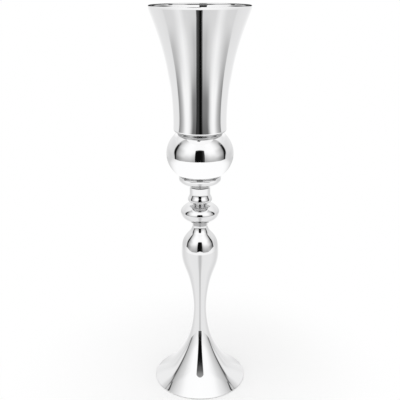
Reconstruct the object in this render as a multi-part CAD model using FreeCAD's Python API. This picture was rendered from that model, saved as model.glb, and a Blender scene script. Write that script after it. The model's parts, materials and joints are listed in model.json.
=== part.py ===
import FreeCAD, Part
import math
import os

# Tall trumpet vase of chrome-plated steel. Spun and pressed shells and turned rings are
# stacked from the foot to the cup, and one long tie rod inside draws the stack together.
# Lengths are in millimetres. Z is up, and the origin is the centre of the footprint,
# on the surface that the vase stands on.

# Driving dimensions
overall_height = 560.0
mouth_radius = 68.3
foot_radius = 69.0
waist_radius = 9.36
belly_radius = 27.7
knop_radius = 27.8
ball_radius = 47.3
throat_radius = 37.3
sheet = 0.8

# Clearances between pieces
slip_fit = 0.05
lip_clearance = 0.07
bore_clearance = 0.3
nest_clearance = 0.1

# Tie rod and its fasteners, all for one thread size
rod_radius = 4.0
rod_chamfer = 0.8
rod_stand_out = 2.0
nut_sides = 6
nut_flats = 13.0
nut_height = 6.5
nut_chamfer_width = 0.9
nut_chamfer_height = 0.45
washer_radius = 8.0
washer_thickness = 1.6
spring_washer_radius = 7.4
spring_washer_thickness = 2.0
spring_washer_slot = 1.2
spring_washer_slant = 30.0
spacer_radius = 7.0

# Felt ring and cover plate under the foot
felt_thickness = 1.5
felt_inset = 7.0
felt_width = 11.0
cover_thickness = 1.0

# Screws that hold the cover plate
cover_screw_count = 3
cover_screw_circle = 34.0
cover_screw_radius = 2.0
cover_screw_length = 6.0
cover_screw_head_radius = 3.6
cover_screw_head_height = 1.2
cover_screw_head_round = 0.5
cover_screw_slot_width = 0.8
cover_screw_slot_depth = 0.6

# Cast weight in the foot
weight_rim_height = 7.0
weight_hub_radius = 16.0
weight_hub_height = 21.0
weight_hub_round = 3.0
weight_recess_radius = 10.5
weight_recess_depth = 13.5
weight_screw_hole_depth = 6.5

# Foot, a spun bell from the table to the waist
foot_lift = 0.4
foot_rim_slope = 32.0
foot_rim_pull = 20.9
waist_height = 118.0
foot_pull_shares = [(0.50, 0.22), (0.954, 0.59), (1.0, 0.923)]
coupler_reach = 14.0

# Stem, a spun baluster from the waist to the knop
stem_height = 135.5
belly_height = 95.0
stem_pull_shares = [(0.0, 0.135), (0.261, 0.519), (1.03, 0.817), (1.002, 1.117)]
stem_neck_radius = 11.3
stem_neck_round = 15.3
stem_neck_turn = 44.0
stem_neck_pull = 10.5
stem_neck_drop = 1.3
plug_thickness = 4.0

# Knop, two pressed halves that meet at its widest level
knop_foot_radius = 12.1
knop_lower_height = 19.5
knop_upper_height = 11.1
knop_land_radius = 16.0
knop_lower_pull_shares = [(0.06, 0.0), (0.08, 0.22), (1.0, 0.60)]
knop_upper_pull_shares = [(0.0, 0.33), (0.52, 0.83), (0.785, 1.0)]

# Collar and neck spool, turned rings between the knop and the dish
collar_radius = 9.8
collar_height = 5.2
collar_edge_round = 0.6
spool_height = 21.2
spool_neck_radius = 14.7
spool_bead_radius = 17.4
spool_bead_height = 11.9
spool_bead_round = 2.0
spool_core_radius = 11.0
spool_core_depth = 14.0
spool_pull_share = 0.5

# Dish, a pressed shell whose lip carries the ball
dish_height = 17.1
dish_radius = 29.9
dish_floor_radius = 12.9
dish_lip_round = 1.6
dish_pull_shares = [(0.04, 0.0), (0.47, 0.23), (1.0, 0.565), (1.0, 0.80)]

# Ball, two pressed halves that meet at its widest level
ball_half_height = 40.3
ball_top_land_radius = 30.0
ball_bottom_land_radius = 14.0

# Cup, a spun trumpet with a flat floor and a rolled hem round the mouth
cup_corner_round = 5.2
cup_mouth_slope = 17.3
cup_mouth_round = 5.0
cup_mouth_pull = 9.3
cup_pull_shares = [(0.0, 0.034), (0.044, 0.563)]
hem_thickness = 2.2
hem_height = 2.4
hem_band_height = 2.4

# Fasteners inside the cup
seal_radius = 14.0
seal_thickness = 2.0
cup_washer_radius = 12.0
dome_nut_hex_height = 8.0
dome_nut_height = 15.0
dome_nut_dome_radius = 6.0
dome_nut_thread_depth = 11.0

# How many points carry the inner face of a curved wall, and how far a cutting tool
# runs past the metal that it cuts
wall_samples = 24
overrun = 1.0

# Levels of the joints, from the table up
waist_level = waist_height
knop_level = waist_level + stem_height
knop_widest_level = knop_level + knop_lower_height
collar_level = knop_widest_level + knop_upper_height
spool_level = collar_level + collar_height
dish_level = spool_level + spool_height
dish_lip_radius = dish_radius - dish_lip_round
dish_lip_level = dish_level + dish_height


def ball_rise(radius):
    """Height of the ball's surface above or below its widest level at a radius."""
    return ball_half_height * math.sqrt(1.0 - (radius / ball_radius) ** 2)


ball_level = dish_lip_level + lip_clearance + ball_rise(dish_lip_radius)
ball_bottom_level = ball_level - ball_rise(ball_bottom_land_radius)
cup_level = ball_level + ball_rise(ball_top_land_radius)

# Levels of the fasteners
cover_level = felt_thickness
weight_level = cover_level + cover_thickness
recess_level = weight_level + weight_recess_depth
bottom_washer_level = recess_level - washer_thickness
spring_washer_level = bottom_washer_level - spring_washer_thickness
bottom_nut_level = spring_washer_level - nut_height
rod_bottom_level = bottom_nut_level - rod_stand_out
seal_level = cup_level + sheet
cup_washer_level = seal_level + seal_thickness
dome_nut_level = cup_washer_level + washer_thickness
rod_top_level = dome_nut_level + dome_nut_thread_depth - rod_stand_out
bore_radius = rod_radius + bore_clearance
thread_radius = rod_radius + slip_fit


def at(radius, height):
    """Point of an outline, as a radius from the axis and a height."""
    return FreeCAD.Vector(radius, 0, height)


def step(start, length, slope):
    """Point that lies a length away from another, in a direction given by its slope."""
    turn = math.radians(slope)
    return at(start.x + length * math.cos(turn), start.z + length * math.sin(turn))


def between(start, finish, shares):
    """Control points at shares of the way in radius and in height between two points."""
    width = finish.x - start.x
    height = finish.z - start.z
    return [at(start.x + width * across, start.z + height * up) for across, up in shares]


def line(start, finish):
    return Part.makeLine(start, finish)


def arc(start, middle, finish):
    return Part.Arc(start, middle, finish).toShape()


def pulled_curve(points):
    """Smooth curve from the first point to the last, pulled towards those between."""
    curve = Part.BSplineCurve()
    curve.buildFromPoles(points, False, 3)
    return curve.toShape()


def round_corner(centre, radius, start_turn, end_turn):
    """Arc about a centre, from one turn to another in degrees."""
    middle_turn = (start_turn + end_turn) / 2
    return arc(
        step(centre, radius, start_turn),
        step(centre, radius, middle_turn),
        step(centre, radius, end_turn),
    )


def inner_edge(edge, wall):
    """Copy of an outline's edge, moved inwards by the wall's thickness.

    Outlines are drawn outwards from the axis and then upwards, so inwards is to the
    left of the way that they run.
    """
    kind = edge.Curve.TypeId
    parts = {"Part::GeomLine": 1, "Part::GeomCircle": 2}.get(kind, wall_samples)
    first, last = edge.ParameterRange
    points = []
    for index in range(parts + 1):
        parameter = first + (last - first) * index / parts
        along = edge.tangentAt(parameter)
        points.append(edge.valueAt(parameter) + at(-along.z, along.x) * wall)
    if parts == 1:
        return line(points[0], points[1])
    if parts == 2:
        return arc(points[0], points[1], points[2])
    curve = Part.BSplineCurve()
    curve.interpolate(points)
    return curve.toShape()


def end_points(edges):
    """First and last point of a chain of edges."""
    start = edges[0].valueAt(edges[0].ParameterRange[0])
    finish = edges[-1].valueAt(edges[-1].ParameterRange[1])
    return start, finish


def lathe(edges):
    """Solid turned about the axis from a closed outline."""
    face = Part.Face(Part.Wire(edges))
    return face.revolve(FreeCAD.Vector(), FreeCAD.Vector(0, 0, 1), 360)


def spun_shell(outline, wall):
    """Shell of even thickness whose outer face follows the outline."""
    inner = [inner_edge(edge, wall) for edge in outline]
    outer_start, outer_finish = end_points(outline)
    inner_start, inner_finish = end_points(inner)
    ends = [line(outer_finish, inner_finish), line(inner_start, outer_start)]
    return lathe(outline + [ends[0]] + inner[::-1] + [ends[1]])


def turned(points):
    """Solid turned about the axis from straight runs between points."""
    return lathe([line(a, b) for a, b in zip(points, points[1:] + points[:1])])


def ring(inner_radius, outer_radius, bottom, top):
    """Plain ring between two levels."""
    corners = [
        at(inner_radius, bottom),
        at(outer_radius, bottom),
        at(outer_radius, top),
        at(inner_radius, top),
    ]
    return turned(corners)


def rod_hole(bottom, top):
    """Cutter for the tie rod's hole."""
    height = top - bottom + 2 * overrun
    return Part.makeCylinder(bore_radius, height, at(0, bottom - overrun))


def hexagon(bottom, height):
    """Hexagonal bar with the corners turned off at both ends, as on a nut."""
    corner = nut_flats / 2 / math.cos(math.pi / nut_sides)
    turns = [2 * math.pi * side / nut_sides for side in range(nut_sides)]
    corners = [
        FreeCAD.Vector(corner * math.cos(turn), corner * math.sin(turn), bottom)
        for turn in turns
    ]
    bar = Part.Face(Part.makePolygon(corners + corners[:1])).extrude(at(0, height))
    top = bottom + height
    barrel = turned([
        at(0, bottom),
        at(corner - nut_chamfer_width, bottom),
        at(corner, bottom + nut_chamfer_height),
        at(corner, top - nut_chamfer_height),
        at(corner - nut_chamfer_width, top),
        at(0, top),
    ])
    return bar.common(barrel)


def foot_outline():
    """Outer face of the foot: a flare from the thin edge at the table up to the waist."""
    edge = at(foot_radius, foot_lift + sheet * math.cos(math.radians(foot_rim_slope)))
    edge_pull = step(edge, foot_rim_pull, 180 - foot_rim_slope)
    waist = at(waist_radius, waist_level)
    return [
        pulled_curve([edge, edge_pull] + between(edge, waist, foot_pull_shares) + [waist]),
    ]


def foot_bell():
    """Spun foot that flares from the waist to the table."""
    return spun_shell(foot_outline(), sheet)


def foot_hollow():
    """Space inside the foot, less the clearance of what nests in it."""
    inner = [inner_edge(edge, sheet + nest_clearance) for edge in foot_outline()]
    start, finish = end_points(inner)
    closing = [
        line(finish, at(0, finish.z)),
        line(at(0, finish.z), at(0, start.z)),
        line(at(0, start.z), start),
    ]
    return lathe(inner + closing)


def screw_places():
    """Centres of the cover screws, evenly round the foot."""
    turns = [2 * math.pi * index / cover_screw_count for index in range(cover_screw_count)]
    return [
        FreeCAD.Vector(
            cover_screw_circle * math.cos(turn),
            cover_screw_circle * math.sin(turn),
            0,
        )
        for turn in turns
    ]


def foot_weight():
    """Cast disc that seats inside the flare, with a hub for the tie rod's lower nut."""
    rim_top = weight_level + weight_rim_height
    hub_top = weight_level + weight_hub_height
    body = turned([
        at(0, weight_level),
        at(foot_radius, weight_level),
        at(foot_radius, rim_top),
        at(weight_hub_radius + weight_hub_round, rim_top),
        at(weight_hub_radius, rim_top + weight_hub_round),
        at(weight_hub_radius, hub_top - weight_hub_round),
        at(weight_hub_radius - weight_hub_round, hub_top),
        at(0, hub_top),
    ])
    recess_height = weight_recess_depth + overrun
    recess = Part.makeCylinder(weight_recess_radius, recess_height, at(0, weight_level - overrun))
    body = body.common(foot_hollow()).cut(recess).cut(rod_hole(weight_level, hub_top))
    for place in screw_places():
        hole_start = place + at(0, weight_level - overrun)
        hole_depth = weight_screw_hole_depth + overrun
        body = body.cut(Part.makeCylinder(cover_screw_radius + slip_fit, hole_depth, hole_start))
    return body


def foot_cover():
    """Flat plate that closes the underside of the foot."""
    plate = Part.makeCylinder(foot_radius, cover_thickness, at(0, cover_level))
    plate = plate.common(foot_hollow())
    for place in screw_places():
        hole_start = place + at(0, cover_level - overrun)
        hole_depth = cover_thickness + 2 * overrun
        plate = plate.cut(Part.makeCylinder(cover_screw_radius + slip_fit, hole_depth, hole_start))
    return plate


def cover_screw(place):
    """Pan-headed screw with a crossed slot, driven up through the cover plate."""
    head_level = cover_level - cover_screw_head_height
    head_edge = cover_screw_head_radius - cover_screw_head_round
    screw = turned([
        at(0, head_level),
        at(head_edge, head_level),
        at(cover_screw_head_radius, head_level + cover_screw_head_round),
        at(cover_screw_head_radius, cover_level),
        at(cover_screw_radius, cover_level),
        at(cover_screw_radius, cover_level + cover_screw_length),
        at(0, cover_level + cover_screw_length),
    ])
    slot_length = cover_screw_head_radius
    for length, width in (
        (slot_length, cover_screw_slot_width),
        (cover_screw_slot_width, slot_length),
    ):
        corner = FreeCAD.Vector(-length / 2, -width / 2, head_level - overrun)
        slot_height = cover_screw_slot_depth + overrun
        screw = screw.cut(Part.makeBox(length, width, slot_height, corner))
    screw.translate(place)
    return screw


def cover_screws():
    return Part.makeCompound([cover_screw(place) for place in screw_places()])


def felt_ring():
    """Felt ring glued under the cover plate, on which the vase stands."""
    outer_radius = foot_radius - felt_inset
    return ring(outer_radius - felt_width, outer_radius, 0, felt_thickness)


def waist_coupler():
    """Sleeve inside the waist that lines the stem up with the foot."""
    outer_radius = waist_radius - sheet - slip_fit
    return ring(
        bore_radius,
        outer_radius,
        waist_level - coupler_reach,
        waist_level + coupler_reach,
    )


def stem_body():
    """Spun baluster: slim waist, full belly and a short hollowed neck."""
    waist = at(waist_radius, waist_level)
    belly = at(belly_radius, waist_level + belly_height)
    neck_centre = at(stem_neck_radius + stem_neck_round, knop_level - stem_neck_drop)
    neck_start = step(neck_centre, stem_neck_round, 180 + stem_neck_turn)
    neck_finish = step(neck_centre, stem_neck_round, 180)
    neck_pull = step(neck_start, stem_neck_pull, stem_neck_turn - 90)
    outline = [
        pulled_curve(
            [waist]
            + between(waist, belly, stem_pull_shares)
            + [neck_pull, neck_start]
        ),
        round_corner(neck_centre, stem_neck_round, 180 + stem_neck_turn, 180),
        line(neck_finish, at(stem_neck_radius, knop_level)),
    ]
    return spun_shell(outline, sheet)


def stem_top_plug():
    """Disc in the mouth of the stem's neck that carries the knop."""
    outer_radius = stem_neck_radius - sheet - slip_fit
    return ring(bore_radius, outer_radius, knop_level - plug_thickness, knop_level)


def knop_lower_half():
    """Pressed lower half of the knop, with a flat land that sits on the stem."""
    foot = at(knop_foot_radius, knop_level)
    widest = at(knop_radius, knop_widest_level)
    outline = [
        line(at(bore_radius, knop_level), foot),
        pulled_curve([foot] + between(foot, widest, knop_lower_pull_shares) + [widest]),
    ]
    return spun_shell(outline, sheet)


def knop_upper_half():
    """Pressed upper half of the knop, with a flat land that carries the collar."""
    widest = at(knop_radius, knop_widest_level)
    land = at(knop_land_radius, collar_level)
    outline = [
        pulled_curve([widest] + between(widest, land, knop_upper_pull_shares) + [land]),
        line(land, at(bore_radius, collar_level)),
    ]
    return spun_shell(outline, sheet)


def spacer(bottom, top):
    """Tube round the tie rod that keeps a hollow piece from being crushed."""
    return ring(bore_radius, spacer_radius, bottom, top)


def neck_collar():
    """Small turned ring between the knop and the neck spool."""
    top = spool_level
    return turned([
        at(bore_radius, collar_level),
        at(collar_radius - collar_edge_round, collar_level),
        at(collar_radius, collar_level + collar_edge_round),
        at(collar_radius, top - collar_edge_round),
        at(collar_radius - collar_edge_round, top),
        at(bore_radius, top),
    ])


def neck_spool():
    """Cast spool with a rounded bead at its foot, cored out from above."""
    bead_start = at(spool_bead_radius - spool_bead_round, spool_level)
    bead_centre = bead_start + at(0, spool_bead_round)
    bead_side = at(spool_bead_radius, spool_level + spool_bead_round)
    neck_start = at(spool_neck_radius, spool_level + spool_bead_height)
    top = at(spool_neck_radius, dish_level)
    pull = spool_pull_share * (neck_start.z - bead_side.z)
    body = lathe([
        line(at(0, spool_level), bead_start),
        round_corner(bead_centre, spool_bead_round, -90, 0),
        pulled_curve([bead_side, bead_side + at(0, pull), neck_start - at(0, pull), neck_start]),
        line(neck_start, top),
        line(top, at(0, dish_level)),
        line(at(0, dish_level), at(0, spool_level)),
    ])
    core_height = spool_core_depth + overrun
    core = Part.makeCylinder(spool_core_radius, core_height, at(0, dish_level - spool_core_depth))
    return body.cut(core).cut(rod_hole(spool_level, dish_level))


def ball_dish():
    """Pressed dish whose turned-in lip carries the ball."""
    floor_edge = at(dish_floor_radius, dish_level)
    wall_top = at(dish_radius, dish_lip_level - dish_lip_round)
    lip_centre = wall_top - at(dish_lip_round, 0)
    outline = [
        line(at(bore_radius, dish_level), floor_edge),
        pulled_curve([floor_edge] + between(floor_edge, wall_top, dish_pull_shares) + [wall_top]),
        round_corner(lip_centre, dish_lip_round, 0, 90),
    ]
    return spun_shell(outline, sheet)


def ball_half(land_radius, side):
    """Pressed half of the ball with a flat land round the tie rod.

    The side is 1 for the upper half and -1 for the lower one.
    """
    def on_ellipse(wall, height):
        width = ball_radius - wall
        rise = ball_half_height - wall
        return at(width * math.sqrt(1.0 - (height / rise) ** 2), ball_level + side * height)

    land_height = ball_rise(land_radius)
    inner_height = land_height - sheet
    outer = [on_ellipse(0, land_height * part / wall_samples) for part in range(wall_samples + 1)]
    inner = [on_ellipse(sheet, inner_height * part / wall_samples) for part in range(wall_samples + 1)]
    outer_curve = Part.BSplineCurve()
    outer_curve.interpolate(outer)
    inner_curve = Part.BSplineCurve()
    inner_curve.interpolate(inner[::-1])
    outer_bore = at(bore_radius, outer[-1].z)
    inner_bore = at(bore_radius, inner[-1].z)
    return lathe([
        outer_curve.toShape(),
        line(outer[-1], outer_bore),
        line(outer_bore, inner_bore),
        line(inner_bore, inner[-1]),
        inner_curve.toShape(),
        line(inner[0], outer[0]),
    ])


def trumpet_cup():
    """Spun cup: flat floor, rounded corner, trumpet flare and a rolled hem."""
    floor_edge = at(throat_radius - cup_corner_round, cup_level)
    corner_centre = floor_edge + at(0, cup_corner_round)
    throat = at(throat_radius, corner_centre.z)
    band_level = overall_height - hem_band_height
    mouth_centre = at(mouth_radius - cup_mouth_round, band_level)
    flare_finish = step(mouth_centre, cup_mouth_round, -cup_mouth_slope)
    flare_pull = step(flare_finish, cup_mouth_pull, -90 - cup_mouth_slope)
    band_bottom = at(mouth_radius, band_level)
    hem_round = hem_thickness / 2
    hem_centre = at(mouth_radius - hem_round, overall_height - hem_round)
    band_top = at(mouth_radius, hem_centre.z)
    outline = [
        line(at(bore_radius, cup_level), floor_edge),
        round_corner(corner_centre, cup_corner_round, -90, 0),
        pulled_curve(
            [throat]
            + between(throat, flare_finish, cup_pull_shares)
            + [flare_pull, flare_finish]
        ),
        round_corner(mouth_centre, cup_mouth_round, -cup_mouth_slope, 0),
        line(band_bottom, band_top),
    ]
    wall = spun_shell(outline, sheet)
    hem_bottom = overall_height - hem_height
    hem_inner_radius = mouth_radius - hem_thickness
    fold_top = at(hem_inner_radius, hem_centre.z)
    fold_bottom = at(hem_inner_radius, hem_bottom)
    tuck = at(mouth_radius - sheet, hem_bottom)
    tuck_top = at(mouth_radius - sheet, hem_centre.z)
    hem = lathe([
        line(tuck, tuck_top),
        line(tuck_top, band_top),
        round_corner(hem_centre, hem_round, 0, 180),
        line(fold_top, fold_bottom),
        line(fold_bottom, tuck),
    ])
    return wall.fuse(hem).removeSplitter()


def cup_seal():
    """Rubber washer that keeps water in the cup."""
    return ring(thread_radius, seal_radius, seal_level, cup_washer_level)


def cup_washer():
    """Wide steel washer that spreads the dome nut's load over the seal."""
    return ring(bore_radius, cup_washer_radius, cup_washer_level, dome_nut_level)


def dome_nut():
    """Closed nut on the tie rod's upper end, inside the cup."""
    dome_centre = at(0, dome_nut_level + dome_nut_height - dome_nut_dome_radius)
    dome = Part.makeSphere(dome_nut_dome_radius, dome_centre)
    shaft_height = dome_centre.z - dome_nut_level
    shaft = Part.makeCylinder(dome_nut_dome_radius, shaft_height, at(0, dome_nut_level))
    body = hexagon(dome_nut_level, dome_nut_hex_height).fuse(shaft).fuse(dome)
    thread_height = dome_nut_thread_depth + overrun
    thread = Part.makeCylinder(thread_radius, thread_height, at(0, dome_nut_level - overrun))
    return body.cut(thread).removeSplitter()


def tie_rod():
    """Threaded rod through the whole stack, with chamfered ends."""
    return turned([
        at(0, rod_bottom_level),
        at(rod_radius - rod_chamfer, rod_bottom_level),
        at(rod_radius, rod_bottom_level + rod_chamfer),
        at(rod_radius, rod_top_level - rod_chamfer),
        at(rod_radius - rod_chamfer, rod_top_level),
        at(0, rod_top_level),
    ])


def bottom_washer():
    return ring(bore_radius, washer_radius, bottom_washer_level, recess_level)


def spring_washer():
    """Split washer that keeps the lower nut from working loose."""
    body = ring(thread_radius, spring_washer_radius, spring_washer_level, bottom_washer_level)
    slot_height = spring_washer_thickness + 2 * overrun
    slot = Part.makeBox(
        spring_washer_radius + overrun,
        spring_washer_slot,
        slot_height,
        FreeCAD.Vector(0, -spring_washer_slot / 2, -slot_height / 2),
    )
    slot.rotate(FreeCAD.Vector(), FreeCAD.Vector(1, 0, 0), spring_washer_slant)
    slot.translate(at(0, spring_washer_level + spring_washer_thickness / 2))
    return body.cut(slot)


def bottom_nut():
    """Hexagonal nut that draws the stack together from below."""
    body = hexagon(bottom_nut_level, nut_height)
    thread_height = nut_height + 2 * overrun
    return body.cut(Part.makeCylinder(thread_radius, thread_height, at(0, bottom_nut_level - overrun)))


pieces = {
    "trumpet_cup": trumpet_cup(),
    "dome_nut": dome_nut(),
    "cup_washer": cup_washer(),
    "cup_seal": cup_seal(),
    "ball_upper_half": ball_half(ball_top_land_radius, 1),
    "ball_lower_half": ball_half(ball_bottom_land_radius, -1),
    "ball_spacer_tube": spacer(ball_bottom_level + sheet, cup_level - sheet),
    "ball_dish": ball_dish(),
    "dish_spacer_tube": spacer(dish_level + sheet, ball_bottom_level),
    "neck_spool": neck_spool(),
    "neck_collar": neck_collar(),
    "knop_upper_half": knop_upper_half(),
    "knop_lower_half": knop_lower_half(),
    "knop_spacer_tube": spacer(knop_level + sheet, collar_level - sheet),
    "stem_top_plug": stem_top_plug(),
    "stem_body": stem_body(),
    "waist_coupler": waist_coupler(),
    "foot_bell": foot_bell(),
    "foot_weight": foot_weight(),
    "bottom_washer": bottom_washer(),
    "spring_washer": spring_washer(),
    "bottom_nut": bottom_nut(),
    "tie_rod": tie_rod(),
    "foot_cover": foot_cover(),
    "cover_screws": cover_screws(),
    "felt_ring": felt_ring(),
}

os.makedirs("parts", exist_ok=True)
for name, shape in pieces.items():
    shape.exportStep("parts/" + name + ".step")
    box = shape.BoundBox
    print(
        name, shape.ShapeType, "valid" if shape.isValid() else "NOT VALID",
        "solids", len(shape.Solids), "volume", round(shape.Volume),
        "from", round(box.ZMin, 2), "to", round(box.ZMax, 2),
    )
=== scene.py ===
# %% [markdown]
# # A chromed trumpet vase, dressed for its photograph
#
# The vase is a stack of thin steel shells that were spun or pressed, polished and plated. The
# measured model is loaded first. It has every piece at its true size and place, so it is the
# frame that all that follows is fitted to. It is made of loose flat triangles, though, and in
# a mirror finish each of them would show. So each shell that shows is modelled again here as a
# smooth turned form with the same outline, and the plain pieces keep the measured mesh.

# %% Load the measured model
import json
import math

import bpy
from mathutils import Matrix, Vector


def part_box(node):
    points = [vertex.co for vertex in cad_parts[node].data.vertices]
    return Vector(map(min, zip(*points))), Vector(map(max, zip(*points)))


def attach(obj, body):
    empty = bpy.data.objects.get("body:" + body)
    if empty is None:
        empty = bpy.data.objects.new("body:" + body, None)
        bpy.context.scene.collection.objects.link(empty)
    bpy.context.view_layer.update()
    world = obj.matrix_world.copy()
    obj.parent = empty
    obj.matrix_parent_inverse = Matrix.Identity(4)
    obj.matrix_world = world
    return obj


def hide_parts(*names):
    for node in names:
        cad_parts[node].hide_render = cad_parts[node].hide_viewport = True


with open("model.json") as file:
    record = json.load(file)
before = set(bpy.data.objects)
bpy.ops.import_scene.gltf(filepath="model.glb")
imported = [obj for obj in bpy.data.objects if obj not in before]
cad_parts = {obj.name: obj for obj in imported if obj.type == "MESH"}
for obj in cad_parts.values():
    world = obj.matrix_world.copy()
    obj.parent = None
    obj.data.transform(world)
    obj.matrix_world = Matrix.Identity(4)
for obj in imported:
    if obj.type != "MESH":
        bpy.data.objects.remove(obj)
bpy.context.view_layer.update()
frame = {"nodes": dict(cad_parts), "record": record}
record = frame["record"]
nodes = frame["nodes"]
mm = 0.001

print("pieces in the measured model:", len(nodes))

# %% [markdown]
# ## Drawing an outline
#
# Every shell of this vase was turned about one axis, so each is known by its outline: the line
# that a cut through the axis would show. An outline could be drawn by extruding a single vertex
# again and again. A smooth curve with a few control points is closer to how the sheet bends,
# and it is easy to change, so each run of the outline is one such curve. A run of two points
# is a straight line. The runs meet end to end, and the whole is then made a line of vertices.

# %% Helpers that draw an outline
curve_steps = 14
merge_distance = 0.002


def deselect_all():
    if bpy.context.mode != "OBJECT":
        bpy.ops.object.mode_set(mode="OBJECT")
    bpy.ops.object.select_all(action="DESELECT")


def draw_outline(name, runs):
    """Joins runs of (radius, height) points in millimetres into one line of vertices."""
    deselect_all()
    bpy.ops.curve.primitive_nurbs_path_add(location=(0, 0, 0))
    outline = bpy.context.object
    outline.name = name
    curve = outline.data
    curve.splines.clear()
    curve.resolution_u = curve_steps
    for points in runs:
        straight = len(points) == 2
        spline = curve.splines.new("POLY" if straight else "NURBS")
        spline.points.add(len(points) - 1)
        for point, (radius, height) in zip(spline.points, points):
            point.co = (radius * mm, 0, height * mm, 1)
        if not straight:
            spline.order_u = 4
            spline.use_endpoint_u = True
            spline.resolution_u = curve_steps
    bpy.ops.object.convert(target="MESH")
    outline = bpy.context.object
    bpy.ops.object.mode_set(mode="EDIT")
    bpy.ops.mesh.select_all(action="SELECT")
    bpy.ops.mesh.remove_doubles(threshold=merge_distance * mm)
    bpy.ops.object.mode_set(mode="OBJECT")
    return outline


def between(start, finish, shares):
    """Control points at shares of the way in radius and in height between two points."""
    width = finish[0] - start[0]
    height = finish[1] - start[1]
    return [(start[0] + width * across, start[1] + height * up) for across, up in shares]


def step(start, length, slope):
    """Point that lies a length away from another, in a direction given by its slope."""
    turn = math.radians(slope)
    return (start[0] + length * math.cos(turn), start[1] + length * math.sin(turn))


def round_run(centre, wide, high, start_turn, end_turn):
    """Four control points of a round or oval run about a centre."""
    start, end = math.radians(start_turn), math.radians(end_turn)
    pull = 4 / 3 * math.tan((end - start) / 4)
    first = (centre[0] + wide * math.cos(start), centre[1] + high * math.sin(start))
    last = (centre[0] + wide * math.cos(end), centre[1] + high * math.sin(end))
    after_first = (first[0] - pull * wide * math.sin(start), first[1] + pull * high * math.cos(start))
    before_last = (last[0] + pull * wide * math.sin(end), last[1] - pull * high * math.cos(end))
    return [first, after_first, before_last, last]


# %% [markdown]
# ## Turning an outline into a shell
#
# Spin carries the outline once round the upright axis, as the lathe carries the sheet. The last
# row of faces meets the first, so the doubled vertices are merged, and only then are the faces
# turned outwards. Solidify gives the sheet its thickness on the inner side, which keeps the outer
# face where the outline put it.

# %% Helpers that turn and finish a piece
turns_round = 160
sheet = 0.8
smooth_angle = math.radians(24)


def spin_outline(outline, steps=turns_round):
    """Spins the line of vertices round the axis and closes the seam."""
    bpy.context.view_layer.objects.active = outline
    outline.select_set(True)
    bpy.ops.object.mode_set(mode="EDIT")
    bpy.ops.mesh.select_all(action="SELECT")
    bpy.ops.mesh.spin(steps=steps, angle=2 * math.pi, center=(0, 0, 0), axis=(0, 0, 1))
    bpy.ops.mesh.select_all(action="SELECT")
    bpy.ops.mesh.remove_doubles(threshold=merge_distance * mm)
    bpy.ops.mesh.select_all(action="SELECT")
    bpy.ops.mesh.normals_make_consistent(inside=False)
    bpy.ops.object.mode_set(mode="OBJECT")
    return outline


def faces_outwards(piece):
    """True if the widest face of a turned piece looks away from the axis."""
    face = max(piece.data.polygons, key=lambda f: f.center.x ** 2 + f.center.y ** 2)
    return face.normal.x * face.center.x + face.normal.y * face.center.y > 0


def thicken(piece, wall=sheet):
    """Gives a turned sheet its thickness on the inner side."""
    if not faces_outwards(piece):
        bpy.ops.object.mode_set(mode="EDIT")
        bpy.ops.mesh.select_all(action="SELECT")
        bpy.ops.mesh.flip_normals()
        bpy.ops.object.mode_set(mode="OBJECT")
    solidify = piece.modifiers.new("sheet", "SOLIDIFY")
    solidify.thickness = wall * mm
    solidify.offset = -1
    solidify.use_even_offset = True
    bpy.ops.object.modifier_apply(modifier=solidify.name)


def finish_piece(piece, slot, *stands_for):
    """Smooths a piece and ties it to the measured model."""
    deselect_all()
    piece.select_set(True)
    bpy.context.view_layer.objects.active = piece
    bpy.ops.object.shade_smooth_by_angle(angle=smooth_angle)
    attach(piece, "root")
    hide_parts(*stands_for)
    piece.data.materials.clear()
    piece.data.materials.append(finishes[slot])
    tops = [vertex.co.z / mm for vertex in piece.data.vertices]
    print(piece.name, "from", round(min(tops), 2), "to", round(max(tops), 2), "mm,",
          len(piece.data.polygons), "faces")


# %% [markdown]
# ## Chrome, and how its surface varies
#
# Polished chrome has almost no colour of its own. It shows the room, and what makes it look real
# is how little its surface varies: the mops that polished it leave a slow waviness and faint
# streaks that only just soften the reflections. Both come from noise that is fixed to the piece.
# They are made once, as a group of nodes, and each metal takes its own amounts.

# %% Node group for the marks of polishing
def group_with(name, inputs, outputs):
    """Empty group of nodes with named inputs and outputs."""
    group = bpy.data.node_groups.new(name, "ShaderNodeTree")
    for label, kind, value in inputs:
        socket = group.interface.new_socket(name=label, in_out="INPUT", socket_type=kind)
        socket.default_value = value
    for label, kind in outputs:
        group.interface.new_socket(name=label, in_out="OUTPUT", socket_type=kind)
    return group, group.nodes.new("NodeGroupInput"), group.nodes.new("NodeGroupOutput")


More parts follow.
